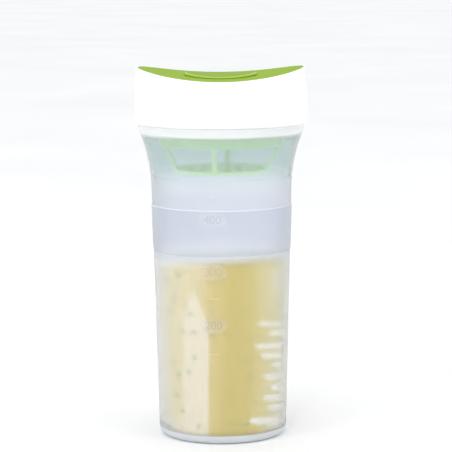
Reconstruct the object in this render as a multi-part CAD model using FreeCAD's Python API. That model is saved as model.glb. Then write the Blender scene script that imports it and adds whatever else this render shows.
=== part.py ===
import FreeCAD, Part
import math
import os

Vector = FreeCAD.Vector

# A shaker bottle stands on the origin with +Z up. Its front faces -Y. All lengths are millimetres.

overrun = 5.0                     # how far a cutting shape passes the face that it cuts

# Bottle: outside
foot_radius = 32.9                # where the bottom corner ends
foot_corner_radius = 4.5
throat_radius = 36.4              # where the cone's line and the flare's line cross
throat_height = 141.9
flare_bend_radius = 70.0
flare_angle = 19.3                # degrees from the axis
flare_width = 6.1                 # from the throat out to the shoulder
shoulder_land_height = 2.7
shoulder_rounding = 0.8
belt_gap = 10.4                   # from the belt up to where the flare begins
belt_height = 23.5
belt_depth = 0.3
belt_slope_height = 0.4

# Bottle: inside, base and neck
bottle_wall = 1.6
floor_thickness = 1.8
floor_corner_radius = 3.0
underside_recess = 2.2
standing_ring_width = 1.8
shoulder_width = 1.5
neck_wall = 1.6
neck_height = 15.1
rim_rounding = 0.5

# Screw thread: several equal ridges on the neck, and as many between them in the cap
thread_starts = 4
thread_lead = 16.0                # how far one full turn lifts the lid
thread_turns = 0.4                # how far round each ridge runs
thread_depth = 1.3
thread_root_width = 2.3
thread_crest_width = 1.3
thread_crest_gap = 0.4
thread_bite = 0.4                 # how deep a ridge reaches into the wall that carries it
thread_lift = 1.3                 # from the shoulder to the lower flank

# Cap shell
cap_foot_gap = 0.4
cap_foot_wall = 2.2
cap_foot_rounding = 1.8
cap_lean = 1.1                    # how much the sleeve narrows towards the ears
cap_rim_wall = 1.5
cap_rim_rounding = 0.5
ear_rise = 14.0                   # from the bottle's rim to the tips of the ears
saddle_dip = 5.7
ledge_thickness = 1.6

# Gasket between the bottle's rim and the cap's ledge
gasket_thickness = 1.9
gasket_face_gap = 0.05
gasket_side_gap = 0.3

# Pour insert
insert_fit_gap = 0.15
insert_plate = 1.8
insert_wall = 1.6
skirt_neck_gap = 0.8
skirt_length = 20.6               # from the ledge's top down to the bowl
bowl_drop = 4.35
bowl_thickness = 1.6
bowl_width = 9.7                  # from the skirt's outside in to the collar
collar_length = 3.0
pour_hole_radius = 8.0
pour_collar_wall = 1.6
pour_collar_height = 1.75
well_depth = 3.2
well_gap = 3.3                    # from the flip cap's pad to the well's wall

# Flip cap and its seal
flip_cap_gap = 0.3
flip_cap_thickness = 1.4
flip_cap_overlap = 3.5            # how far it covers the plate around the well
flip_cap_rounding = 0.5
seal_thickness = 0.95
seal_inset = 0.8
seal_overlap = 0.9
seal_face_gap = 0.05
seal_lip_gap = 0.2
seal_lip_wall = 1.0

# Flip cap hinge
hinge_setback = 3.5               # from the flip cap's edge to the hinge axis
hinge_depth = 1.9                 # from the plate's lowest line to the hinge axis
hinge_half_width = 6.5
barrel_radius = 1.9
hinge_web_half_thickness = 1.2
trunnion_radius = 1.1
trunnion_length = 2.3
trunnion_gap = 0.08
pocket_side_gap = 0.4
pocket_wall = 2.4
pocket_front_gap = 0.8
pocket_floor = 1.4
swing_gap = 0.8                   # free room around the flip cap's edge as it swings

# Strainer basket
strainer_fit_gap = 0.3
strainer_ring_wall = 1.8
strainer_ring_height = 4.6
strainer_seat_gap = 0.05
strainer_depth = 18.8
strainer_taper = 7.0              # how much narrower the floor is than the rim
strainer_floor_thickness = 1.8
strainer_rib_count = 4
strainer_rib_width = 2.4
strainer_rib_thickness = 1.8
strainer_rib_turn = -7.5          # degrees from the front
strainer_hole_radius = 2.0
strainer_hole_margin = 2.5        # from the outer holes to the floor's edge
strainer_hole_rings = 3
strainer_hole_step = 6            # how many more holes each ring has than the one inside it

# Sizes that follow from those above
lean = math.atan((throat_radius - foot_radius) / (throat_height - foot_corner_radius))
flare = math.radians(flare_angle)
shoulder_radius = throat_radius + flare_width
flare_top_height = throat_height + flare_width / math.tan(flare)
shoulder_height = flare_top_height + shoulder_land_height
neck_radius = shoulder_radius - shoulder_width
neck_bore_radius = neck_radius - neck_wall
rim_height = shoulder_height + neck_height
floor_height = underside_recess + floor_thickness

cap_bore_radius = neck_radius + thread_depth + thread_crest_gap
cap_foot_radius = cap_bore_radius + cap_foot_wall
cap_top_radius = cap_foot_radius - cap_lean
cap_foot_height = shoulder_height + cap_foot_gap
cap_top_height = rim_height + ear_rise
ledge_height = rim_height + gasket_thickness + 2 * gasket_face_gap
ledge_top_height = ledge_height + ledge_thickness
thread_height = shoulder_height + thread_lift + thread_root_width / 2

dip_height = cap_top_height - saddle_dip
saddle_radius = (cap_top_radius ** 2 + saddle_dip ** 2) / (2 * saddle_dip)
saddle_axis_height = dip_height + saddle_radius

seat_radius = cap_top_radius - cap_rim_wall
insert_radius = seat_radius - insert_fit_gap
skirt_radius = neck_bore_radius - skirt_neck_gap
skirt_bore_radius = skirt_radius - insert_wall
ledge_bore_radius = skirt_radius + gasket_side_gap
skirt_foot_height = ledge_top_height - skirt_length
bowl_height = skirt_foot_height - bowl_drop
collar_radius = skirt_radius - bowl_width
collar_bore_radius = collar_radius - insert_wall
collar_foot_height = bowl_height - collar_length

pour_collar_radius = pour_hole_radius + pour_collar_wall
well_floor_height = dip_height - well_depth
pour_collar_top = well_floor_height + pour_collar_height
seal_foot_height = pour_collar_top + seal_face_gap
seal_top_height = seal_foot_height + seal_thickness
pad_height = seal_top_height + seal_face_gap
seal_bore_radius = pour_hole_radius - seal_inset
seal_radius = pour_collar_radius + seal_overlap
lip_bore_radius = seal_radius + seal_lip_gap
pad_radius = lip_bore_radius + seal_lip_wall
well_radius = pad_radius + well_gap
flip_cap_radius = well_radius + flip_cap_overlap

hinge_y = flip_cap_radius + hinge_setback
hinge_height = dip_height - hinge_depth
flip_cap_top = dip_height + flip_cap_gap + flip_cap_thickness
flip_cap_back = hinge_y + hinge_web_half_thickness
swing_radius = math.hypot(flip_cap_top - hinge_height, hinge_web_half_thickness)
pocket_front = hinge_y - barrel_radius - pocket_front_gap
pocket_back = hinge_y + swing_radius + 2 * swing_gap
pocket_floor_height = hinge_height - swing_radius - swing_gap
pocket_half_width = hinge_half_width + pocket_side_gap
trunnion_reach = hinge_half_width + trunnion_length

strainer_top = bowl_height - strainer_seat_gap
strainer_foot = strainer_top - strainer_depth
strainer_ring_foot = strainer_top - strainer_ring_height
strainer_ring_bore = collar_radius + strainer_fit_gap
strainer_ring_radius = strainer_ring_bore + strainer_ring_wall
strainer_floor_radius = strainer_ring_radius - strainer_taper
strainer_hole_reach = strainer_floor_radius - strainer_hole_margin - strainer_hole_radius
strainer_hole_spacing = strainer_hole_reach / strainer_hole_rings


def cone_radius(height):
    return foot_radius + (height - foot_corner_radius) * math.tan(lean)


def rounded_corner(before, corner, after, rounding):
    to_before = (before - corner).normalize()
    to_after = (after - corner).normalize()
    half_angle = to_before.getAngle(to_after) / 2
    reach = rounding / math.tan(half_angle)
    depth = rounding / math.sin(half_angle) - rounding
    middle = corner + (to_before + to_after).normalize() * depth
    return corner + to_before * reach, middle, corner + to_after * reach


def section(corners):
    # A closed half section from corners of radius, height and, where a corner is round, its rounding.
    points = [Vector(corner[0], 0, corner[1]) for corner in corners]
    edges = []
    ends = []
    for index, corner in enumerate(corners):
        point = points[index]
        if len(corner) == 2:
            ends.append((point, point))
            continue
        after = points[(index + 1) % len(points)]
        start, middle, end = rounded_corner(points[index - 1], point, after, corner[2])
        edges.append(Part.Arc(start, middle, end).toShape())
        ends.append((start, end))
    for index, pair in enumerate(ends):
        edges.append(Part.makeLine(ends[index - 1][1], pair[0]))
    return Part.Face(Part.Wire(Part.__sortEdges__(edges)))


def turned(corners):
    return section(corners).revolve(Vector(0, 0, 0), Vector(0, 0, 1), 360)


def post(radius, low, high):
    return Part.makeCylinder(radius, high - low, Vector(0, 0, low))


def ring(bore_radius, radius, low, high):
    return post(radius, low, high).cut(post(bore_radius, low - overrun, high + overrun))


def block(half_width, front, back, low, high):
    corner = Vector(-half_width, front, low)
    return Part.makeBox(2 * half_width, back - front, high - low, corner)


def hinge_rod(radius, half_length):
    start = Vector(-half_length, hinge_y, hinge_height)
    return Part.makeCylinder(radius, 2 * half_length, start, Vector(1, 0, 0))


def above_saddle(offset):
    # The space above the lid's saddle surface, which is raised by the offset.
    reach = cap_foot_radius + overrun
    start = Vector(0, -reach, saddle_axis_height)
    return Part.makeCylinder(saddle_radius - offset, 2 * reach, start, Vector(0, 1, 0))


def around_axis(shape, count, first_turn):
    copies = []
    for index in range(count):
        copy = shape.copy()
        copy.rotate(Vector(0, 0, 0), Vector(0, 0, 1), first_turn + index * 360 / count)
        copies.append(copy)
    return copies


def thread(wall_radius, depth, first_turn):
    # The ridges on one wall. A negative depth points inwards.
    bite = math.copysign(thread_bite, depth)
    slope = (thread_root_width - thread_crest_width) / 2 / thread_depth
    half_root = thread_root_width / 2 + slope * thread_bite
    half_crest = thread_crest_width / 2
    root = wall_radius - bite
    crest = wall_radius + depth
    profile = Part.makePolygon([
        Vector(root, 0, -half_root),
        Vector(crest, 0, -half_crest),
        Vector(crest, 0, half_crest),
        Vector(root, 0, half_root),
        Vector(root, 0, -half_root),
    ])
    helix = Part.Wire(Part.makeHelix(thread_lead, thread_lead * thread_turns, wall_radius))
    ridge = helix.makePipeShell([profile], True, True)
    ridge.translate(Vector(0, 0, thread_height))
    return around_axis(ridge, thread_starts, first_turn)


def upper_rim(shape):
    # The edges round the highest face that follows the saddle.
    saddle_faces = []
    for face in shape.Faces:
        if face.Surface.TypeId == "Part::GeomCylinder" and face.Surface.Radius > cap_foot_radius:
            saddle_faces.append(face)
    highest = max(saddle_faces, key=lambda face: face.CenterOfMass.z)
    return highest.OuterWire.Edges


def make_bottle():
    bend_start_height = throat_height - flare_bend_radius * math.tan((flare - lean) / 2) * math.cos(lean)
    belt_top_height = bend_start_height - belt_gap
    belt_foot_height = belt_top_height - belt_height
    belt_low = belt_foot_height + belt_slope_height
    belt_high = belt_top_height - belt_slope_height
    # The inner throat lies one wall inside both of the outer lines that cross there.
    across = 1 + math.cos(flare - lean)
    inner_throat_radius = throat_radius - bottle_wall * (math.cos(lean) + math.cos(flare)) / across
    inner_throat_height = throat_height + bottle_wall * (math.sin(lean) + math.sin(flare)) / across
    bore_start_height = inner_throat_height + (neck_bore_radius - inner_throat_radius) / math.tan(flare)
    inner_floor_radius = cone_radius(floor_height) - bottle_wall / math.cos(lean)
    recess_radius = foot_radius - foot_corner_radius - standing_ring_width
    shell = turned([
        (0, underside_recess),
        (recess_radius - underside_recess / 2, underside_recess, underside_recess / 2),
        (recess_radius, 0),
        (foot_radius, 0, foot_corner_radius),
        (cone_radius(belt_foot_height), belt_foot_height),
        (cone_radius(belt_low) + belt_depth, belt_low),
        (cone_radius(belt_high) + belt_depth, belt_high),
        (cone_radius(belt_top_height), belt_top_height),
        (throat_radius, throat_height, flare_bend_radius),
        (shoulder_radius, flare_top_height, shoulder_rounding),
        (shoulder_radius, shoulder_height, shoulder_rounding),
        (neck_radius, shoulder_height),
        (neck_radius, rim_height, rim_rounding),
        (neck_bore_radius, rim_height, rim_rounding),
        (neck_bore_radius, bore_start_height),
        (inner_throat_radius, inner_throat_height, flare_bend_radius + bottle_wall),
        (inner_floor_radius, floor_height, floor_corner_radius),
        (0, floor_height),
    ])
    return shell.fuse(thread(neck_radius, thread_depth, 0))


def make_cap_shell():
    # The sleeve starts taller than its ears, and the saddle cut then shapes its whole rim.
    blank_height = cap_top_height + overrun
    blank_lean = cap_lean * (blank_height - cap_foot_height) / (cap_top_height - cap_foot_height)
    sleeve = turned([
        (cap_bore_radius, cap_foot_height),
        (cap_foot_radius, cap_foot_height, cap_foot_rounding),
        (cap_foot_radius - blank_lean, blank_height),
        (seat_radius, blank_height),
        (seat_radius, ledge_top_height),
        (ledge_bore_radius, ledge_top_height),
        (ledge_bore_radius, ledge_height),
        (cap_bore_radius, ledge_height),
    ])
    sleeve = sleeve.cut(above_saddle(0))
    sleeve = sleeve.makeFillet(cap_rim_rounding, upper_rim(sleeve))
    return sleeve.fuse(thread(cap_bore_radius, -thread_depth, 180 / thread_starts))


def make_lid_gasket():
    low = rim_height + gasket_face_gap
    return ring(ledge_bore_radius, neck_radius, low, low + gasket_thickness)


def make_pour_insert():
    plate_bottom = above_saddle(-insert_plate)
    groove_radius = insert_radius - insert_wall
    drum = post(insert_radius, ledge_top_height, cap_top_height)
    hollow = post(skirt_bore_radius, ledge_top_height - overrun, cap_top_height)
    groove = ring(skirt_radius, groove_radius, ledge_top_height - overrun, cap_top_height)
    drum = drum.cut(hollow.cut(plate_bottom))
    drum = drum.cut(groove.cut(plate_bottom))

    # The plug skirt ends in a bowl, whose collar carries the strainer.
    bowl_top = bowl_height + bowl_thickness
    skirt = turned([
        (skirt_radius, dip_height - insert_plate),
        (skirt_radius, skirt_foot_height),
        (strainer_ring_radius, bowl_height),
        (collar_radius, bowl_height),
        (collar_radius, collar_foot_height),
        (collar_bore_radius, collar_foot_height),
        (collar_bore_radius, bowl_top),
        (strainer_ring_radius - insert_wall / 2, bowl_top),
        (skirt_bore_radius, skirt_foot_height + bowl_thickness / 2),
        (skirt_bore_radius, dip_height - insert_plate),
    ])
    well_wall_radius = well_radius + insert_wall
    well = post(well_wall_radius, well_floor_height - insert_wall, cap_top_height)
    pocket_box = block(
        pocket_half_width + pocket_wall,
        pocket_front - insert_wall,
        pocket_back + insert_wall,
        pocket_floor_height - pocket_floor,
        cap_top_height,
    )
    body = drum.fuse([skirt, well, pocket_box])
    body = body.cut(above_saddle(0))

    pocket = block(pocket_half_width, pocket_front, pocket_back, pocket_floor_height, cap_top_height)
    trunnion_hole = hinge_rod(trunnion_radius + trunnion_gap, pocket_half_width + pocket_wall + overrun)
    body = body.cut(post(well_radius, well_floor_height, cap_top_height))
    body = body.cut([pocket, trunnion_hole])
    pour_hole = post(pour_hole_radius, well_floor_height - overrun, well_floor_height + overrun)
    pour_collar = post(pour_collar_radius, well_floor_height, pour_collar_top)
    return body.fuse(pour_collar).cut(pour_hole).removeSplitter()


def make_flip_cap():
    disc = post(flip_cap_radius, dip_height, cap_top_height)
    disc = disc.fuse(block(hinge_half_width, 0, flip_cap_back, dip_height, cap_top_height)).removeSplitter()
    disc = disc.common(above_saddle(flip_cap_gap))
    disc = disc.cut(above_saddle(flip_cap_gap + flip_cap_thickness))
    disc = disc.makeFillet(flip_cap_rounding, upper_rim(disc))

    disc_middle = dip_height + flip_cap_gap + flip_cap_thickness / 2
    pad = post(pad_radius, pad_height, disc_middle)
    lip = ring(lip_bore_radius, pad_radius, seal_foot_height, pad_height)
    web_front = hinge_y - hinge_web_half_thickness
    web = block(hinge_half_width, web_front, flip_cap_back, hinge_height, disc_middle)
    barrel = hinge_rod(barrel_radius, hinge_half_width)
    trunnions = hinge_rod(trunnion_radius, trunnion_reach)
    return disc.fuse([pad, lip, web, barrel, trunnions]).removeSplitter()


def make_flip_cap_seal():
    return ring(seal_bore_radius, seal_radius, seal_foot_height, seal_top_height)


def make_strainer_basket():
    rim = ring(strainer_ring_bore, strainer_ring_radius, strainer_ring_foot, strainer_top)
    floor_top = strainer_foot + strainer_floor_thickness
    floor = post(strainer_floor_radius, strainer_foot, floor_top)
    for hole_ring in range(strainer_hole_rings + 1):
        count = max(1, strainer_hole_step * hole_ring)
        hole = post(strainer_hole_radius, strainer_foot - overrun, floor_top + overrun)
        hole.translate(Vector(0, -hole_ring * strainer_hole_spacing, 0))
        floor = floor.cut(around_axis(hole, count, 0))

    # Each rib leans inwards from under the rim to the edge of the floor.
    rib_top = (strainer_ring_foot + collar_foot_height) / 2
    rib_outline = Part.makePolygon([
        Vector(0, -strainer_ring_radius, rib_top),
        Vector(0, -strainer_ring_bore, rib_top),
        Vector(0, strainer_rib_thickness - strainer_floor_radius, strainer_foot),
        Vector(0, -strainer_floor_radius, strainer_foot),
        Vector(0, -strainer_ring_radius, rib_top),
    ])
    rib = Part.Face(rib_outline).extrude(Vector(strainer_rib_width, 0, 0))
    rib.translate(Vector(-strainer_rib_width / 2, 0, 0))
    ribs = around_axis(rib, strainer_rib_count, strainer_rib_turn)
    return floor.fuse(ribs + [rim]).removeSplitter()


def save(node, shape):
    print(node, len(shape.Solids), "solid", shape.isValid(), round(shape.Volume))
    shape.exportStep("parts/" + node + ".step")


os.makedirs("parts", exist_ok=True)
save("bottle", make_bottle())
save("cap_shell", make_cap_shell())
save("lid_gasket", make_lid_gasket())
save("pour_insert", make_pour_insert())
save("flip_cap", make_flip_cap())
save("flip_cap_seal", make_flip_cap_seal())
save("strainer_basket", make_strainer_basket())
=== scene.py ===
import bpy
import bmesh
import math
from mathutils import Matrix, Vector


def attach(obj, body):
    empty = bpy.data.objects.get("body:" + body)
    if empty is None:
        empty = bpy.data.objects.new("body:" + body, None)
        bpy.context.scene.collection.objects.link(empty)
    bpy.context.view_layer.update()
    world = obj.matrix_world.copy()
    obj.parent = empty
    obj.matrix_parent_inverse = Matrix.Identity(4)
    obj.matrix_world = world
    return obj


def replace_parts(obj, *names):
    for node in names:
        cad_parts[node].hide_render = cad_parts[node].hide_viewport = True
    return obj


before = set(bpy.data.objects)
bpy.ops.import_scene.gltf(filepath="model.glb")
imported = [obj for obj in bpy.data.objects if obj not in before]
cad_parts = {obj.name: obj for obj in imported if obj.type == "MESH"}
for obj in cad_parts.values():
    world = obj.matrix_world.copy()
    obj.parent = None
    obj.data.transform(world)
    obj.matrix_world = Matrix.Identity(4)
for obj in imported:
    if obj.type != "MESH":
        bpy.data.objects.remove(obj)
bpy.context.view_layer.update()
scene = bpy.context.scene
mm = 0.001  # sizes in the settings are in millimetres
weld = 1e-6  # points closer than this are one, in metres
noiseEnds = (0.3, 0.7)  # most of a noise's values lie between these
print("frame loaded:", sorted(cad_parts))


def srgb(code):
    # hex colour as the linear values that the shader wants
    parts = [int(code[i:i + 2], 16) / 255 for i in (0, 2, 4)]
    return [p / 12.92 if p <= 0.04045 else ((p + 0.055) / 1.055) ** 2.4 for p in parts] + [1.0]


# materials

def startMaterial(name):
    mat = bpy.data.materials.new(name)
    mat.use_nodes = True
    shader = mat.node_tree.nodes["Principled BSDF"]
    coord = mat.node_tree.nodes.new("ShaderNodeTexCoord")
    return mat, mat.node_tree, shader, coord.outputs["Object"]


def addNoise(tree, place, scale, detail, roughness=0.5):
    noise = tree.nodes.new("ShaderNodeTexNoise")
    noise.inputs["Scale"].default_value = scale
    noise.inputs["Detail"].default_value = detail
    noise.inputs["Roughness"].default_value = roughness
    tree.links.new(place, noise.inputs["Vector"])
    return noise.outputs["Fac"]


def addAttribute(tree, name):
    node = tree.nodes.new("ShaderNodeAttribute")
    node.attribute_name = name
    return node.outputs["Fac"]


def addRamp(tree, value, stops):
    # stops are pairs of position and colour
    ramp = tree.nodes.new("ShaderNodeValToRGB")
    while len(ramp.color_ramp.elements) < len(stops):
        ramp.color_ramp.elements.new(0.5)
    for element, (position, colour) in zip(ramp.color_ramp.elements, stops):
        element.position = position
        element.color = colour
    tree.links.new(value, ramp.inputs["Fac"])
    return ramp.outputs["Color"]


def addMath(tree, operation, first, second=0.0):
    node = tree.nodes.new("ShaderNodeMath")
    node.operation = operation
    for socket, value in zip(node.inputs, (first, second)):
        if isinstance(value, (int, float)):
            socket.default_value = value
        else:
            tree.links.new(value, socket)
    return node.outputs["Value"]


def addMix(tree, share, first, second):
    mix = tree.nodes.new("ShaderNodeMix")
    mix.data_type = "RGBA"
    for socket, value in ((mix.inputs[0], share), (mix.inputs[6], first), (mix.inputs[7], second)):
        if isinstance(value, list):
            socket.default_value = value
        else:
            tree.links.new(value, socket)
    return mix.outputs[2]


def addRange(tree, value, low, high, toLow=0.0, toHigh=1.0):
    node = tree.nodes.new("ShaderNodeMapRange")
    for name, number in (("From Min", low), ("From Max", high), ("To Min", toLow), ("To Max", toHigh)):
        node.inputs[name].default_value = number
    tree.links.new(value, node.inputs["Value"])
    return node.outputs["Result"]


def spread(tree, noise, toLow=0.0, toHigh=1.0):
    return addRange(tree, noise, *noiseEnds, toLow, toHigh)


def above(tree, value, ends):
    # 0 under the first end, 1 over the second
    return addRange(tree, value, ends[0] * mm, ends[1] * mm)


def below(tree, value, ends):
    return addRange(tree, value, ends[0] * mm, ends[1] * mm, 1.0, 0.0)


def between(tree, value, lowEnds, highEnds):
    return addMath(tree, "MULTIPLY", above(tree, value, lowEnds), below(tree, value, highEnds))


def splitAxes(tree, place):
    split = tree.nodes.new("ShaderNodeSeparateXYZ")
    tree.links.new(place, split.inputs["Vector"])
    return split.outputs["X"], split.outputs["Y"], split.outputs["Z"]


def setTone(tree, shader, share, first, second):
    tree.links.new(addMix(tree, share, srgb(first), srgb(second)), shader.inputs["Base Color"])


def setRoughness(tree, shader, noise, middle, either):
    # the roughness wanders a little to either side of its middle
    tree.links.new(spread(tree, noise, middle - either, middle + either), shader.inputs["Roughness"])


def setBump(tree, shader, height, strength, depth):
    bump = tree.nodes.new("ShaderNodeBump")
    bump.inputs["Strength"].default_value = strength
    bump.inputs["Distance"].default_value = depth * mm
    tree.links.new(height, bump.inputs["Height"])
    tree.links.new(bump.outputs["Normal"], shader.inputs["Normal"])


frosted = {
    "clear": "f2f5fa",
    "belt": "e7ebf3",
    "overFill": "fbfcfd",  # in front of the dressing
    "milkyHighlightAndGlow": "fbfdff",  # thick shoulder, a painted highlight along the belt's upper edge, and the colour of the painted glow under the cap
    "paintedGreenLight": "dce9e9",  # painted green light on the flare round the strainer, standing in for light from the green parts inside
    "foot": "e9eef3",
    "cloudTone": "fbfcfd",
    "cloud": (38, 2.0),  # scale and detail of the noise
    "cloudShare": 0.16,
    "footTop": (4.35, 5.25),  # heights over which one tone turns into the next
    "fillTop": (91.0, 94.0),
    "beltLow": (96.8, 97.4),
    "beltHigh": (120.1, 120.5),
    # a painted highlight line along the belt's upper edge
    "lineLow": (120.0, 120.3),
    "lineHigh": (120.6, 120.9),
    "flare": (129.0, 141.0),
    "shoulder": (155.9, 157.9),
    "paintedGlowLow": (160.6, 161.9),
    "paintedGlowHigh": (162.1, 163.0),
    "paintedGlow": 0.14,  # painted glow in the shoulder just under the cap, against the shade of the cap's overhang
    "lineShare": 0.5,
    "transmission": 0.965,
    "hazeTransmission": 0.85,
    "milkyTransmission": 0.4,  # of what the wall lets through elsewhere
    "footTransmission": 0.3,
    "roughness": 0.36,
    "hazeRoughness": 0.2,  # the flare is less rough than the rest
    "ior": 1.18,
}


def makeFrosted(s):
    mat, tree, shader, place = startMaterial("frostedPlastic")
    z = splitAxes(tree, place)[2]
    onBelt = between(tree, z, s["beltLow"], s["beltHigh"])
    # the belt's upper edge is whitened as a painted highlight line; the mask thick covers both the thick
    # shoulder and this line
    onHighlightLine = addMath(tree, "MULTIPLY", between(tree, z, s["lineLow"], s["lineHigh"]), s["lineShare"])
    thick = addMath(tree, "MAXIMUM", onHighlightLine, above(tree, z, s["shoulder"]))
    onFlare = above(tree, z, s["flare"])
    onFoot = below(tree, z, s["footTop"])
    tone = addMix(tree, onBelt, srgb(s["clear"]), srgb(s["belt"]))
    tone = addMix(tree, below(tree, z, s["fillTop"]), tone, srgb(s["overFill"]))
    # painted green light on the flare
    tone = addMix(tree, onFlare, tone, srgb(s["paintedGreenLight"]))
    tone = addMix(tree, onFoot, tone, srgb(s["foot"]))
    cloud = addNoise(tree, place, *s["cloud"])
    tone = addMix(tree, spread(tree, cloud, 0.0, s["cloudShare"]), tone, srgb(s["cloudTone"]))
    tone = addMix(tree, thick, tone, srgb(s["milkyHighlightAndGlow"]))
    tree.links.new(tone, shader.inputs["Base Color"])
    rough = addRange(tree, onFlare, 0.0, 1.0, s["roughness"], s["hazeRoughness"])
    tree.links.new(rough, shader.inputs["Roughness"])
    see = addRange(tree, onFlare, 0.0, 1.0, s["transmission"], s["hazeTransmission"])
    milk = addRange(tree, thick, 0.0, 1.0, 1.0, s["milkyTransmission"])
    foot = addRange(tree, onFoot, 0.0, 1.0, 1.0, s["footTransmission"])
    see = addMath(tree, "MULTIPLY", addMath(tree, "MULTIPLY", see, milk), foot)
    tree.links.new(see, shader.inputs["Transmission Weight"])
    shader.inputs["IOR"].default_value = s["ior"]
    # painted glow just under the cap
    paintedGlow = addMath(tree, "MULTIPLY", between(tree, z, s["paintedGlowLow"], s["paintedGlowHigh"]), s["paintedGlow"])
    shader.inputs["Emission Color"].default_value = srgb(s["milkyHighlightAndGlow"])
    tree.links.new(paintedGlow, shader.inputs["Emission Strength"])
    return mat


relief = {"cloud": (300, 2.0), "roughness": 0.4, "roughnessEither": 0.05}
plateRelief = {"name": "raisedPlate", "body": "ffffff", "dust": "f1f4f8", "alpha": 0.07}
digitRelief = {"name": "raisedDigitsPaintedShade", "body": "b9b6a4", "dust": "aeb0a6", "alpha": 0.12}


def makeRelief(s, look):
    # thin raised marks change the wall's tone only a little; the digits are greyed as painted shade for the
    # light their relief bends away, and the plates are a little lighter
    mat, tree, shader, place = startMaterial(look["name"])
    cloud = addNoise(tree, place, *s["cloud"])
    setTone(tree, shader, spread(tree, cloud), look["body"], look["dust"])
    setRoughness(tree, shader, cloud, s["roughness"], s["roughnessEither"])
    shader.inputs["Alpha"].default_value = look["alpha"]
    return mat


white = {
    "face": "fbfbfb",
    "shade": "f3f4f5",
    "cloud": (55, 3.0),
    "cloudRange": (0.35, 0.65),
    "grain": (1800, 2.0),
    "grainStrength": 0.05,
    "grainDepth": 0.04,
    "roughness": 0.32,
    "roughnessEither": 0.04,
    "inside": 0.08,  # share of the light that goes in and comes out again
    "insideReach": 4.0,
    "insideScale": 0.5,
}


def makeWhite(s):
    mat, tree, shader, place = startMaterial("whitePlastic")
    cloud = addNoise(tree, place, *s["cloud"])
    setTone(tree, shader, addRange(tree, cloud, *s["cloudRange"]), s["face"], s["shade"])
    grain = addNoise(tree, place, *s["grain"])
    setRoughness(tree, shader, grain, s["roughness"], s["roughnessEither"])
    setBump(tree, shader, grain, s["grainStrength"], s["grainDepth"])
    shader.inputs["Subsurface Weight"].default_value = s["inside"]
    shader.inputs["Subsurface Radius"].default_value = [s["insideReach"] * mm] * 3
    shader.inputs["Subsurface Scale"].default_value = s["insideScale"]
    return mat


lime = {
    "cloud": (70, 3.0),
    "cloudRange": (0.35, 0.7),
    "grain": (2200, 2.0),
    "grainStrength": 0.06,
    "grainDepth": 0.04,
    "roughnessEither": 0.05,
    "glowTone": "e6f4da",
}
green = {"name": "limePlastic", "body": "89ab14", "pale": "8daf1a", "roughness": 0.5, "gloss": 0.06,
         "glow": 0.0}
# a greyer lime for the flip lid, with little gloss: the sky's reflection on its top is painted into its
# colour
lidGreen = {"name": "lidLimePaintedReflection", "body": "88a63a", "pale": "8ca93f", "roughness": 0.5, "gloss": 0.03,
            "glow": 0.0}
# a lighter, glossier lime for the lid's rounded edge: a painted highlight as well as real gloss
edgeHighlightGreen = {"name": "glossyLimePaintedHighlight", "body": "9fbf37", "pale": "a4c33d", "roughness": 0.25, "gloss": 0.5,
             "glow": 0.0}
paleGreen = {"name": "paleLimePlastic", "body": "d3eeb4", "pale": "dbf2c0", "roughness": 0.45, "gloss": 0.3,
             "glow": 0.28}  # painted glow, standing in for light that comes through its thin ribs


def makeGreen(s, look):
    mat, tree, shader, place = startMaterial(look["name"])
    cloud = addNoise(tree, place, *s["cloud"])
    setTone(tree, shader, addRange(tree, cloud, *s["cloudRange"]), look["body"], look["pale"])
    grain = addNoise(tree, place, *s["grain"])
    setRoughness(tree, shader, grain, look["roughness"], s["roughnessEither"])
    setBump(tree, shader, grain, s["grainStrength"], s["grainDepth"])
    shader.inputs["Specular IOR Level"].default_value = look["gloss"]
    shader.inputs["Emission Color"].default_value = srgb(s["glowTone"])
    shader.inputs["Emission Strength"].default_value = look["glow"]
    return mat


silicone = {
    "body": "dcdeda",
    "dust": "cfd2cd",
    "speck": (900, 4.0, 0.65),  # scale, detail and roughness of the noise
    "speckRange": (0.4, 0.7),
    "speckStrength": 0.15,
    "speckDepth": 0.06,
    "roughness": 0.62,
    "roughnessEither": 0.08,
}


def makeSilicone(s):
    mat, tree, shader, place = startMaterial("milkySilicone")
    speck = addNoise(tree, place, *s["speck"])
    setTone(tree, shader, addRange(tree, speck, *s["speckRange"]), s["body"], s["dust"])
    setRoughness(tree, shader, speck, s["roughness"], s["roughnessEither"])
    setBump(tree, shader, speck, s["speckStrength"], s["speckDepth"])
    return mat


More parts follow.
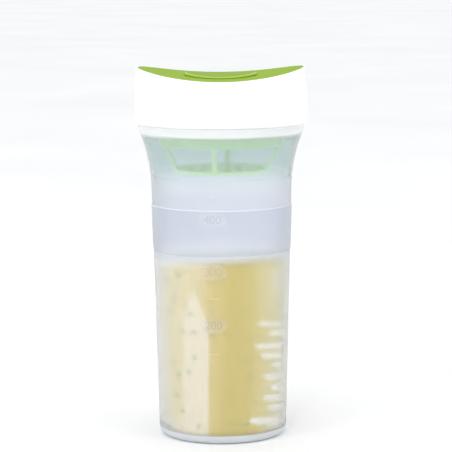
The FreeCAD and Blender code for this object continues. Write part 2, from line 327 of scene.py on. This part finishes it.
dressing = {
    "gap": 0.25,  # to the inner wall
    "floor": 4.1,
    "footRounding": 1.2,
    "middleHeight": 92.0,
    "riseRight": 0.052,  # millimetres up for each one to the right
    "riseFront": 0.11,
    "slantDepth": 14.0,  # below the top, where the slant dies out
    "lipHeight": 2.4,  # froth that clings to the wall
    "lipWidth": 0.7,
    "lipSlope": 1.9,
    "lipRounding": 0.25,
    "lipFoot": 1.2,
    "steps": 256,
    "sharpAngle": 50,
    "rowHeight": 0.5,
    "plainRows": 4,  # left to the rounding of its foot
    "paintDepth": 4.0,  # in from its edge, where lines and herbs show
    "paintedLightBands": ((-34, "f2eee0"), (-25, "efe3bb"), (-13, "ecdfb0"), (-6, "e3ce87"),
              (3, "dac56b"), (13, "ddca74"), (23, "e9dca4"), (34, "d9d9b4")),  # painted light: pale and darker bands of reflections, from left to right
    "bandWobble": (26, 3.0),
    "bandWobbleReach": 1.3,
    "reflectionWedge": {"middle": -14.2, "half": 7.2, "soft": 1.8, "softOut": 0.36, "low": 63.0, "high": 87.0,
              "tone": "f7edd3"},
    "crumbs": (420, 2.0),
    "crumbRange": (0.60, 0.75),
    "crumbTone": "e2d98e",
    "crumbShare": 0.25,
    "crumbStrength": 0.2,
    "crumbDepth": 0.2,
    "froth": "fcfcfb",
    "frothRange": (-4.0, 1.0),  # from its top
    "frothShare": 0.95,
    "paintedLightFootSides": {"across": (18.0, 30.0), "up": (5.5, 13.0), "tone": "fffef8"},
    "herb": "7fb08c",
    "herbRange": (0.1, 0.7),
    "herbShare": 0.42,
    "line": "fdfaee",
    "lineRange": (0.12, 0.62),
    "lineShare": 0.92,
    "roughness": 0.37,
    "roughnessEither": 0.05,
}


def makeDressing(s):
    mat, tree, shader, place = startMaterial("creamyDressing")
    x, y, z = splitAxes(tree, place)
    bandWobble = addNoise(tree, place, *s["bandWobble"])
    across = addMath(tree, "ADD", x, spread(tree, bandWobble, -s["bandWobbleReach"] * mm, s["bandWobbleReach"] * mm))
    reach = s["paintedLightBands"][-1][0]
    stops = [((at + reach) / (2 * reach), srgb(code)) for at, code in s["paintedLightBands"]]
    body = addRamp(tree, above(tree, across, (-reach, reach)), stops)
    # a painted reflection: a pale band that runs to a point at its top
    reflectionWedge = s["reflectionWedge"]
    half = addRange(tree, z, reflectionWedge["low"] * mm, reflectionWedge["high"] * mm, reflectionWedge["half"] * mm, -reflectionWedge["soft"] * mm)
    off = addMath(tree, "ABSOLUTE", addMath(tree, "SUBTRACT", across, reflectionWedge["middle"] * mm))
    inReflectionWedge = below(tree, addMath(tree, "SUBTRACT", off, half), (-reflectionWedge["soft"], reflectionWedge["softOut"]))
    body = addMix(tree, inReflectionWedge, body, srgb(reflectionWedge["tone"]))
    crumbs = addNoise(tree, place, *s["crumbs"])
    crumb = addRange(tree, crumbs, *s["crumbRange"], 0.0, s["crumbShare"])
    body = addMix(tree, crumb, body, srgb(s["crumbTone"]))
    # paler towards the top, where it has foamed
    level = addMath(tree, "SUBTRACT", z, addMath(tree, "MULTIPLY", x, s["riseRight"]))
    level = addMath(tree, "ADD", level, addMath(tree, "MULTIPLY", y, s["riseFront"]))
    low, high = [(s["middleHeight"] + end) * mm for end in s["frothRange"]]
    body = addMix(tree, addRange(tree, level, low, high, 0.0, s["frothShare"]), body, srgb(s["froth"]))
    # painted light: brighter at both sides of its foot, against the shade there
    sides = s["paintedLightFootSides"]
    outer = above(tree, addMath(tree, "ABSOLUTE", x), sides["across"])
    bright = addMath(tree, "MULTIPLY", outer, below(tree, z, sides["up"]))
    body = addMix(tree, bright, body, srgb(sides["tone"]))
    # herbs, pale lines and a painted highlight patch lie where its mesh says so
    herb = addRange(tree, addAttribute(tree, "fleck"), *s["herbRange"], 0.0, s["herbShare"])
    body = addMix(tree, herb, body, srgb(s["herb"]))
    line = addRange(tree, addAttribute(tree, "paleLineAndHighlight"), *s["lineRange"], 0.0, s["lineShare"])
    body = addMix(tree, line, body, srgb(s["line"]))
    tree.links.new(body, shader.inputs["Base Color"])
    setRoughness(tree, shader, crumbs, s["roughness"], s["roughnessEither"])
    setBump(tree, shader, crumbs, s["crumbStrength"], s["crumbDepth"])
    return mat


frostedMat = makeFrosted(frosted)
plateMat = makeRelief(relief, plateRelief)
digitMat = makeRelief(relief, digitRelief)
whiteMat = makeWhite(white)
greenMat = makeGreen(lime, green)
lidGreenMat = makeGreen(lime, lidGreen)
edgeHighlightGreenMat = makeGreen(lime, edgeHighlightGreen)
paleGreenMat = makeGreen(lime, paleGreen)
siliconeMat = makeSilicone(silicone)
dressingMat = makeDressing(dressing)
print("materials made")


# mesh helpers

rounding = {"longReach": 3.0, "longSteps": 14, "shortSteps": 4}


def arcReach(radius, turn):
    # how far back from its corner an arc starts that turns by this angle
    return radius * math.tan(turn / 2)


def spinProfile(bm, corners, steps):
    # corners are radius, height and how far back a rounding starts
    # the outline is closed unless it begins and ends on the axis
    verts = [bm.verts.new((r * mm, 0, z * mm)) for r, z, reach in corners]
    for first, second in zip(verts, verts[1:]):
        bm.edges.new((first, second))
    if corners[0][0] > 0:
        bm.edges.new((verts[-1], verts[0]))
    for vert, (r, z, reach) in zip(verts, corners):
        if reach:
            pieces = rounding["longSteps"] if reach > rounding["longReach"] else rounding["shortSteps"]
            bmesh.ops.bevel(bm, geom=[vert], offset=reach * mm, offset_type="OFFSET", profile=0.5,
                            segments=pieces, affect="VERTICES", material=-1)
    bmesh.ops.spin(bm, geom=bm.verts[:] + bm.edges[:], cent=(0, 0, 0), axis=(0, 0, 1),
                   angle=math.tau, steps=steps, use_merge=True)
    bmesh.ops.remove_doubles(bm, verts=bm.verts[:], dist=weld)
    bmesh.ops.recalc_face_normals(bm, faces=bm.faces[:])


def finishPiece(name, bm, body, mats, sharpAngle=32):
    bmesh.ops.recalc_face_normals(bm, faces=bm.faces[:])
    for face in bm.faces:
        face.smooth = True
    for edge in bm.edges:
        if len(edge.link_faces) == 2 and edge.calc_face_angle() > math.radians(sharpAngle):
            edge.smooth = False
    mesh = bpy.data.meshes.new(name)
    bm.to_mesh(mesh)
    bm.free()
    for mat in mats:
        mesh.materials.append(mat)
    piece = bpy.data.objects.new(name, mesh)
    scene.collection.objects.link(piece)
    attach(piece, body)
    return piece


# thread, on the neck and in the cap

thread = {
    "starts": 4,
    "low": 164.47,  # middle of a ridge at its low end
    "rise": 6.4,
    "sweep": 144,
    "depth": 1.3,
    "rootHalf": 1.15,
    "crestHalf": 0.65,
    "sink": 0.1,  # into the wall
    "steps": 48,
}


def addThread(bm, s, wall, side, turn):
    # ridges that climb round the axis, on the outside of a wall with side 1 and inside it with -1
    root, crest = wall - side * s["sink"], wall + side * s["depth"]
    section = [(root, -s["rootHalf"]), (crest, -s["crestHalf"])]
    section += [(crest, s["crestHalf"]), (root, s["rootHalf"])]
    for start in range(s["starts"]):
        place = Matrix.Rotation(math.radians(turn + start * 360 / s["starts"]), 4, "Z")
        verts = [bm.verts.new(place @ Vector((0, -r, s["low"] + z)) * mm) for r, z in section]
        face = bm.faces.new(verts)
        bmesh.ops.spin(bm, geom=[face] + list(face.edges) + verts, cent=(0, 0, 0), axis=(0, 0, 1),
                       angle=math.radians(s["sweep"]), steps=s["steps"],
                       dvec=(0, 0, s["rise"] * mm / s["steps"]))


# bottle

bottle = {
    "footRadius": 32.9,
    "footRounding": 4.5,
    "recessRadius": 26.6,
    "recessSlope": 1.1,
    "recessDepth": 2.2,
    "recessRounding": 1.1,
    "beltLow": 97.02,
    "beltHigh": 120.52,
    "beltStep": 0.3,  # how far it stands out
    "beltSlope": 0.4,
    "throatRadius": 36.4,
    "throatHeight": 141.9,
    "bendRadius": 70.0,
    "shoulderRadius": 42.5,
    "shoulderLow": 159.32,
    "shoulderHigh": 162.02,
    "shoulderRounding": 0.8,
    "shoulderEdge": 0.3,
    "neckRadius": 41.0,
    "neckTop": 177.12,
    "rimRounding": 0.5,
    "wall": 1.6,
    "floorHeight": 4.0,
    "floorRounding": 3.0,
    "threadTurn": 90,
    "steps": 160,
}
coneHeight = bottle["throatHeight"] - bottle["footRounding"]
flareHeight = bottle["shoulderLow"] - bottle["throatHeight"]
coneLean = (bottle["throatRadius"] - bottle["footRadius"]) / coneHeight
flareLean = (bottle["shoulderRadius"] - bottle["throatRadius"]) / flareHeight
coneInset = bottle["wall"] * math.hypot(1, coneLean)  # the walls measured level
flareInset = bottle["wall"] * math.hypot(1, flareLean)


def coneWall(z):
    return bottle["footRadius"] + (z - bottle["footRounding"]) * coneLean


def innerWall(z):
    return coneWall(z) - coneInset


def outerWall(z):
    slope = bottle["beltSlope"]
    onBelt = bottle["beltLow"] + slope < z < bottle["beltHigh"] - slope
    return coneWall(z) + (bottle["beltStep"] if onBelt else 0.0)


def bottleOutline(s):
    flareTurn = math.atan(flareLean)
    bendTurn = flareTurn - math.atan(coneLean)
    footTurn = math.pi / 2 - math.atan(coneLean)
    recessTurn = math.atan2(s["recessDepth"], s["recessSlope"])
    low, high, slope = s["beltLow"], s["beltHigh"], s["beltSlope"]
    bore = s["neckRadius"] - s["wall"]
    boreLow = s["throatHeight"] + (bore + flareInset - s["throatRadius"]) / flareLean
    innerThroat = s["throatHeight"] + (flareInset - coneInset) / (flareLean - coneLean)
    outside = [
        (0, s["recessDepth"], 0),
        (s["recessRadius"] - s["recessSlope"], s["recessDepth"], arcReach(s["recessRounding"], recessTurn)),
        (s["recessRadius"], 0, 0),
        (s["footRadius"], 0, arcReach(s["footRounding"], footTurn)),
        (coneWall(low), low, 0),
        (coneWall(low + slope) + s["beltStep"], low + slope, 0),
        (coneWall(high - slope) + s["beltStep"], high - slope, 0),
        (coneWall(high), high, 0),
        (s["throatRadius"], s["throatHeight"], arcReach(s["bendRadius"], bendTurn)),
        (s["shoulderRadius"], s["shoulderLow"], arcReach(s["shoulderRounding"], flareTurn)),
        (s["shoulderRadius"], s["shoulderHigh"], s["shoulderEdge"]),
        (s["neckRadius"], s["shoulderHigh"], 0),
        (s["neckRadius"], s["neckTop"], s["rimRounding"]),
    ]
    inside = [
        (bore, s["neckTop"], s["rimRounding"]),
        (bore, boreLow, 0),
        (innerWall(innerThroat), innerThroat, arcReach(s["bendRadius"] + s["wall"], bendTurn)),
        (innerWall(s["floorHeight"]), s["floorHeight"], arcReach(s["floorRounding"], footTurn)),
        (0, s["floorHeight"], 0),
    ]
    return outside + inside


def buildBottle(s):
    bm = bmesh.new()
    spinProfile(bm, bottleOutline(s), s["steps"])
    addThread(bm, thread, s["neckRadius"], 1, s["threadTurn"])
    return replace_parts(finishPiece("bottleWall", bm, "bottle", [frostedMat]), "bottle")


bottleWall = buildBottle(bottle)
print("bottle:", len(bottleWall.data.polygons), "faces")


# dressing inside the bottle

lines = {  # pale lines at the right
    "rows": ((12.0, 23), (17.1, 44), (22.8, 38), (27.6, 47), (33.8, 38), (39.2, 49), (45.3, 34),
             (50.6, 27), (56.3, 43), (62.0, 30)),  # height and angle of the left end
    "lastAngle": 77,
    "thick": 5.6,
    "fall": 0.075,  # millimetres down for each degree to the right
    "leftFade": 8.0,  # degrees over which the ends fade
    "rightFade": 14.0,
    "faint": 0.6,  # of the top line, against the lowest
    "highlightPatchAngle": 55,  # a painted highlight: a blurred pale patch above them
    "highlightPatchHeight": 82.0,
    "highlightPatchHalves": (10.0, 13.0),
    "highlightPatchStrength": 0.34,
}
herbs = {
    "radius": 2.3,
    "places": ((-28, 83), (-22, 86), (-24, 74), (-27, 67), (-16, 67), (-5, 69), (-20, 58), (-14, 58),
               (-5, 57), (-14, 45), (-25, 41), (-17, 37), (-22, 35), (9, 43), (14, 35), (-24, 24),
               (-20, 16), (-12, 9), (5, 10), (12, 10), (21, 8), (-27, 7)),  # across and up, front and back
}


def lineShade(s, angle, z):
    # how white the pale lines and the painted highlight patch make one spot of the wall
    shade = 0.0
    lowest, highest = s["rows"][0][0], s["rows"][-1][0]
    for middle, first in s["rows"]:
        strength = 1.0 - (1.0 - s["faint"]) * (middle - lowest) / (highest - lowest)
        off = abs(z - middle + s["fall"] * (angle - first)) / (s["thick"] / 2)
        ends = min(1.0, (angle - first) / s["leftFade"], (s["lastAngle"] - angle) / s["rightFade"])
        shade = max(shade, max(0.0, 1.0 - off) * max(0.0, ends) * strength)
    # the painted highlight patch
    halfWidth, halfHeight = s["highlightPatchHalves"]
    across = math.radians(angle - s["highlightPatchAngle"]) * innerWall(s["highlightPatchHeight"]) / halfWidth
    up = (z - s["highlightPatchHeight"]) / halfHeight
    return max(shade, s["highlightPatchStrength"] * (1.0 - math.hypot(across, up)))


def fleckShade(s, x, z):
    return max(0.0, max(1.0 - math.hypot(x - across, z - up) / s["radius"] for across, up in s["places"]))


def buildDressing(s):
    low, high = s["floor"], s["middleHeight"]
    crest = high + s["lipHeight"]
    edge = innerWall(crest) - s["gap"]
    lipEdge = edge - s["lipWidth"]
    rows = range(s["plainRows"], int((crest - low) / s["rowHeight"]))
    heights = [low + row * s["rowHeight"] for row in rows]
    outline = [(0, low, 0), (innerWall(low) - s["gap"], low, s["footRounding"])]
    outline += [(innerWall(z) - s["gap"], z, 0) for z in heights]
    outline += [(edge, crest, 0), (lipEdge, crest, s["lipRounding"])]
    outline += [(lipEdge - s["lipSlope"], high, s["lipFoot"]), (0, high, 0)]
    bm = bmesh.new()
    spinProfile(bm, outline, s["steps"])
    paleLineAndHighlight = bm.verts.layers.float.new("paleLineAndHighlight")
    fleck = bm.verts.layers.float.new("fleck")
    for vert in bm.verts:
        x, y, z = vert.co / mm
        if math.hypot(x, y) > edge - s["paintDepth"]:
            vert[paleLineAndHighlight] = max(0.0, lineShade(lines, math.degrees(math.atan2(x, -y)), z))
            vert[fleck] = fleckShade(herbs, x if y < 0 else -x, z)
    for vert in bm.verts:
        share = (vert.co.z / mm - high) / s["slantDepth"] + 1.0
        if share > 0:  # the top lies a little aslant, with froth at its front edge
            radius = max(vert.co.xy.length, mm)
            rise = (vert.co.x * s["riseRight"] - vert.co.y * s["riseFront"]) * min(1.0, share)
            back = (1 + vert.co.y / radius) / 2
            rise -= max(0.0, vert.co.z - high * mm) * back
            vert.co.z += rise
            vert.co.xy *= 1 + rise * coneLean / radius
    return finishPiece("dressingFill", bm, "bottle", [dressingMat], s["sharpAngle"])


dressingFill = buildDressing(dressing)
print("dressing: top at", round(max(v.co.z for v in dressingFill.data.vertices), 4))


# cap

cap = {
    "footRadius": 44.9,
    "footHeight": 162.05,
    "footRounding": 1.8,
    "topRadius": 43.8,
    "earHeight": 191.12,
    "dipHeight": 185.42,
    "rimWall": 1.5,
    "rimRounding": 0.5,
    "rimDepth": 1.5,  # what is moved down to the saddle
    "ledgeTop": 180.72,
    "ledgeThick": 1.6,
    "ledgeBore": 38.9,
    "bore": 42.7,
    "threadTurn": 135,
    "steps": 192,
}
saddleDrop = cap["earHeight"] - cap["dipHeight"]
saddleRadius = (cap["topRadius"] ** 2 + saddleDrop ** 2) / (2 * saddleDrop)


def saddle(x):
    return cap["dipHeight"] + saddleRadius - math.sqrt(saddleRadius ** 2 - x ** 2)


def buildCap(s):
    inner = s["topRadius"] - s["rimWall"]
    ledgeLow = s["ledgeTop"] - s["ledgeThick"]
    outline = [
        (s["bore"], s["footHeight"], 0),
        (s["footRadius"], s["footHeight"], s["footRounding"]),
        (s["topRadius"], s["earHeight"], s["rimRounding"]),
        (inner, s["earHeight"], s["rimRounding"]),
        (inner, s["ledgeTop"], 0),
        (s["ledgeBore"], s["ledgeTop"], 0),
        (s["ledgeBore"], ledgeLow, 0),
        (s["bore"], ledgeLow, 0),
    ]
    bm = bmesh.new()
    spinProfile(bm, outline, s["steps"])
    lean = (s["footRadius"] - s["topRadius"]) / (s["earHeight"] - s["footHeight"])
    for vert in bm.verts:  # the rim follows the saddle
        if vert.co.z > (s["earHeight"] - s["rimDepth"]) * mm:
            drop = (s["earHeight"] - saddle(vert.co.x / mm)) * mm
            vert.co.z -= drop
            if vert.co.xy.length > (s["topRadius"] - s["rimWall"] / 2) * mm:
                vert.co.xy *= 1 + lean * drop / vert.co.xy.length
    addThread(bm, thread, s["bore"], -1, s["threadTurn"])
    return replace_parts(finishPiece("capSleeve", bm, "lid", [whiteMat]), "cap_shell")


capSleeve = buildCap(cap)
print("cap:", len(capSleeve.data.polygons), "faces")


# flip lid, with its hinge

flip = {
    "radius": 18.5,
    "rise": 1.7,  # of its edge above the saddle
    "hollow": 0.7,  # how far its middle dips below that
    "under": 0.3,
    "skirt": 0.08,  # room left under its turned-down edge
    "skirtWidth": 1.2,
    "skirtRounding": 0.1,
    "rounding": 1.1,
    "polishedHighlight": (0.1, 0.985),  # from its steepest to its flattest face, as the normal's upward part
    "rings": 4,
    "steps": 96,
    "padRadius": 11.7,
    "padRim": 1.0,  # width and depth
    "padLow": -0.4,
    "padHigh": 0.6,
    "padRounding": 0.2,
    "padSteps": 72,
    "hingeY": 22.0,
    "hingeDrop": 1.9,  # from the dip to the hinge axis
    "tongueHalf": 6.5,
    "tongueBack": 23.2,
    "tongueOverlap": 4.0,
    "tongueLow": 0.4,
    "webThick": 2.4,
    "webDrop": 0.3,
    "barrelRadius": 1.9,
    "pinRadius": 1.1,
    "pinHalf": 8.8,
    "rodSteps": 40,
}


def addBox(bm, low, high):
    size = Vector(high) - Vector(low)
    made = bmesh.ops.create_cube(bm, size=1.0)
    bmesh.ops.scale(bm, verts=made["verts"], vec=size * mm)
    bmesh.ops.translate(bm, verts=made["verts"], vec=(Vector(low) + size / 2) * mm)


def addRod(bm, radius, half, y, z, steps):
    # a rod across, along x
    made = bmesh.ops.create_cone(bm, cap_ends=True, segments=steps, radius1=radius * mm, radius2=radius * mm,
                                 depth=2 * half * mm)
    bmesh.ops.rotate(bm, verts=made["verts"], matrix=Matrix.Rotation(math.pi / 2, 3, "Y"))
    bmesh.ops.translate(bm, verts=made["verts"], vec=(0, y * mm, z * mm))


def addPad(bm, s, height):
    # the round pad under the lid, with the rim that holds the seal
    radius, inner = s["padRadius"], s["padRadius"] - s["padRim"]
    low, rimLow, high = s["padLow"], s["padLow"] - s["padRim"], s["padHigh"]
    outline = [(0, low, 0), (inner, low, 0), (inner, rimLow, 0)]
    outline += [(radius, rimLow, s["padRounding"]), (radius, high, 0), (0, high, 0)]
    pad = bmesh.new()
    spinProfile(pad, outline, s["padSteps"])
    bmesh.ops.translate(pad, verts=pad.verts[:], vec=(0, 0, height * mm))
    padMesh = bpy.data.meshes.new("pad")
    pad.to_mesh(padMesh)
    pad.free()
    bm.from_mesh(padMesh)
    bpy.data.meshes.remove(padMesh)


def buildFlipLid(s):
    edge, inside = s["radius"], s["radius"] - s["skirtWidth"]
    under, rise, skirt = s["under"], s["rise"], s["skirt"]
    rings = [inside * ring / (s["rings"] + 1) for ring in range(1, s["rings"] + 1)]
    outline = [(0, under, 0)] + [(r, under, 0) for r in rings] + [(inside, under, 0)]
    outline += [(inside, skirt, s["skirtRounding"]), (edge, skirt, s["skirtRounding"])]
    outline += [(edge, rise, s["rounding"])] + [(r, rise, 0) for r in reversed(rings)] + [(0, rise, 0)]
    bm = bmesh.new()
    spinProfile(bm, outline, s["steps"])
    for vert in bm.verts:  # bent to the saddle, and dished along its middle
        across = vert.co.x / mm
        dish = s["hollow"] * (1 - (across / edge) ** 2) * max(0.0, vert.co.z / mm - under)
        vert.co.z += (saddle(across) - dish / (rise - under)) * mm
    bm.normal_update()
    steepest, flattest = s["polishedHighlight"]
    for face in bm.faces:  # its rounded edge is polished, and takes a lighter green as a painted highlight
        middle = face.calc_center_median().xy.length / mm
        if middle > edge - s["rounding"] and steepest < face.normal.z < flattest:
            face.material_index = 1
    dip = cap["dipHeight"]
    addPad(bm, s, dip)
    top = dip + rise - s["hollow"]
    axis = dip - s["hingeDrop"]
    half, back, hingeY = s["tongueHalf"], s["tongueBack"], s["hingeY"]
    addBox(bm, (-half, edge - s["tongueOverlap"], dip + s["tongueLow"]), (half, back, top))
    addBox(bm, (-half, hingeY - s["webThick"] / 2, axis), (half, back, top - s["webDrop"]))
    addRod(bm, s["barrelRadius"], half, hingeY, axis, s["rodSteps"])
    addRod(bm, s["pinRadius"], s["pinHalf"], hingeY, axis, s["rodSteps"])
    mats = [lidGreenMat, edgeHighlightGreenMat]
    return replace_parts(finishPiece("flipLid", bm, "flip_cap", mats), "flip_cap")


flipLid = buildFlipLid(flip)
print("flip lid:", len(flipLid.data.polygons), "faces")


# moulded scale on the wall

marks = {
    "turn": -7.4,  # degrees from the front
    "numbers": (("400", 115.8), ("300", 89.3), ("200", 62.0)),  # with their heights
    "plate": (15.0, 8.5, 0.14),  # width, height and how far it stands out
    "smallPlate": (5.2, 2.6, 0.14),
    "smallHeight": 128.2,
    "dash": (6.0, 1.0, 0.14),
    "dashHeights": (75.8, 47.5),
    "section": ((0, 0), (0.3, 0), (0.6, 0), (0.88, 0), (0.97, 0.35), (1, 1), (0.8, 1), (0.5, 1), (0, 1)),
    "steps": 56,
    "digitSize": 6.0,
    "digitDepth": 0.12,
    "weld": 1e-4,
    "sink": 0.05,
}


def wrapOnWall(bm, turn, sink):
    # flat relief in millimetres, x across, z up and y into the wall, is laid round the cone
    for vert in bm.verts:
        wall = outerWall(vert.co.z)
        radius = wall - vert.co.y - sink
        angle = vert.co.x / wall + math.radians(turn)
        vert.co = Vector((radius * math.sin(angle), -radius * math.cos(angle), vert.co.z)) * mm


def addPlate(bm, s, size, middle):
    # half a section, in shares of radius and depth, is spun into a round plate and stretched to an oval
    width, height, depth = size
    known = set(bm.verts)
    verts = [bm.verts.new((r, y, 0)) for r, y in s["section"]]
    edges = [bm.edges.new(pair) for pair in zip(verts, verts[1:])]
    bmesh.ops.spin(bm, geom=verts + edges, cent=(0, 0, 0), axis=(0, 1, 0),
                   angle=math.tau, steps=s["steps"], use_merge=True)
    new = [vert for vert in bm.verts if vert not in known]
    bmesh.ops.scale(bm, verts=new, vec=(width / 2, depth, height / 2))
    bmesh.ops.translate(bm, verts=new, vec=(0, -depth, middle))


def addNumber(bm, s, words, middle):
    curve = bpy.data.curves.new("number", "FONT")
    curve.body = words
    curve.size = s["digitSize"]
    curve.align_x = "CENTER"
    curve.align_y = "CENTER"
    curve.extrude = s["digitDepth"]
    holder = bpy.data.objects.new("number", curve)
    flat = bpy.data.meshes.new_from_object(holder)
    out = Matrix.Translation((0, -s["plate"][2], middle))
    flat.transform(out @ Matrix.Rotation(math.pi / 2, 4, "X"))
    known = set(bm.faces)
    bm.from_mesh(flat)
    for face in bm.faces:
        if face not in known:
            face.material_index = 1
    bpy.data.objects.remove(holder)


def buildMarks(s):
    bm = bmesh.new()
    for words, middle in s["numbers"]:
        addPlate(bm, s, s["plate"], middle)
        addNumber(bm, s, words, middle)
    addPlate(bm, s, s["smallPlate"], s["smallHeight"])
    for middle in s["dashHeights"]:
        addPlate(bm, s, s["dash"], middle)
    bmesh.ops.remove_doubles(bm, verts=bm.verts[:], dist=s["weld"])
    wrapOnWall(bm, s["turn"], s["sink"])
    return finishPiece("mouldedScale", bm, "bottle", [plateMat, digitMat])


mouldedScale = buildMarks(marks)
print("moulded scale:", len(mouldedScale.data.polygons), "faces")


# pieces that keep their CAD shape

finishes = {
    "pour_insert": greenMat,
    "strainer_basket": paleGreenMat,
    "lid_gasket": siliconeMat,
    "flip_cap_seal": siliconeMat,
}
for node, mat in finishes.items():
    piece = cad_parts[node]
    piece.data.materials.clear()
    piece.data.materials.append(mat)
print("finishes set on", len(finishes), "CAD pieces")


# floor, light and camera, in metres

studio = {
    "floorHalf": 14.0,
    "floorSquares": 8,
    "floorTone": "f4f5f6",
    "floorShade": "eff0f1",
    "floorCloud": (3.0, 2.0),
    "floorRoughness": 0.9,
    "floorGloss": 0.1,
    "skyTop": 1.15,
    "skyEdge": 0.62,  # at the horizon
    "skyFull": 0.7,  # how far up it reaches its full strength
    "lamps": (  # name, place, aim, width, height, watts
        ("softLeft", (-1.3, -1.3, 1.1), (0, 0, 0.1), 0.9, 0.9, 7.0),
        ("softRight", (1.4, -1.0, 0.9), (0, 0, 0.1), 0.7, 1.0, 4.0),
        ("keyFront", (-0.25, -1.3, 1.0), (0, 0, 0.18), 0.22, 0.22, 3.0),
    ),
}


def buildFloor(s):
    bm = bmesh.new()
    squares = s["floorSquares"]
    bmesh.ops.create_grid(bm, x_segments=squares, y_segments=squares, size=s["floorHalf"])
    mesh = bpy.data.meshes.new("floor")
    bm.to_mesh(mesh)
    bm.free()
    mat, tree, shader, place = startMaterial("paleFloor")
    cloud = addNoise(tree, place, *s["floorCloud"])
    setTone(tree, shader, spread(tree, cloud), s["floorTone"], s["floorShade"])
    shader.inputs["Roughness"].default_value = s["floorRoughness"]
    shader.inputs["Specular IOR Level"].default_value = s["floorGloss"]
    mesh.materials.append(mat)
    floor = bpy.data.objects.new("floor", mesh)
    scene.collection.objects.link(floor)


def buildLight(s):
    world = bpy.data.worlds.new("studioWorld")
    world.use_nodes = True
    tree = world.node_tree
    sky = tree.nodes["Background"]
    coord = tree.nodes.new("ShaderNodeTexCoord")
    up = splitAxes(tree, coord.outputs["Generated"])[2]
    strength = addRange(tree, up, 0.0, s["skyFull"], s["skyEdge"], s["skyTop"])
    tree.links.new(strength, sky.inputs["Strength"])
    sky.inputs["Color"].default_value = (1.0, 1.0, 1.0, 1.0)
    scene.world = world
    for name, place, aim, width, height, watts in s["lamps"]:
        data = bpy.data.lights.new(name, "AREA")
        data.shape = "RECTANGLE"
        data.size = width
        data.size_y = height
        data.energy = watts
        lamp = bpy.data.objects.new(name, data)
        lamp.location = place
        lamp.rotation_euler = (Vector(aim) - Vector(place)).to_track_quat("-Z", "Y").to_euler()
        scene.collection.objects.link(lamp)


view = {
    "place": (0.0022, -1.10, 0.2554),
    "pitch": 7.62,
    "roll": 0.34,
    "lens": 170.9,
    "sensor": 36,
    "clipEnd": 60,
}


def buildCamera(s):
    data = bpy.data.cameras.new("photoCamera")
    data.lens = s["lens"]
    data.sensor_width = s["sensor"]
    data.clip_end = s["clipEnd"]
    camera = bpy.data.objects.new("photoCamera", data)
    camera.location = s["place"]
    aim = Matrix.Rotation(math.radians(90 - s["pitch"]), 3, "X")
    camera.rotation_euler = (aim @ Matrix.Rotation(math.radians(-s["roll"]), 3, "Z")).to_euler()
    scene.collection.objects.link(camera)
    scene.camera = camera


buildFloor(studio)
buildLight(studio)
buildCamera(view)
scene.view_settings.view_transform = "Standard"
print("floor, lights and camera set")
